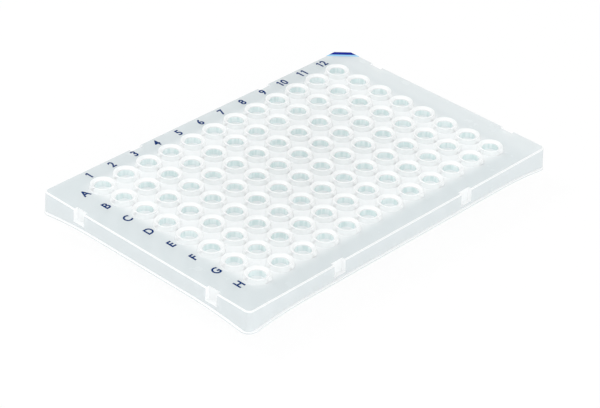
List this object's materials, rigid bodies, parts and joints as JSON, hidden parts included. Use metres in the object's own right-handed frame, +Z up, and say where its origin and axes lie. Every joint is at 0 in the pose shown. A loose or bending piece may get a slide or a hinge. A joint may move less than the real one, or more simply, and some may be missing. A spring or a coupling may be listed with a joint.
{
  "type": "well plate",
  "caption": "Flat rectangular plate that holds small samples in a grid of tapered tubes, which open in raised rims on its deck, with a short flanged skirt and a cut corner.",
  "frame": {"origin": "centre of the plate in plan, at the plane of the tube tips on which it stands", "axes": "+X along the rows from column 1 to column 12, +Y from row H to row A, +Z up through the mouths of the wells"},
  "size_m": [0.1278, 0.0854, 0.0161],
  "materials": {
    "polypropylene": "natural translucent polypropylene, satin, milky white with a cool green-grey tint",
    "ink": "printed dark blue ink"
  },
  "bodies": {
    "root": {"plate": "polypropylene"}
  },
  "joints": []
}
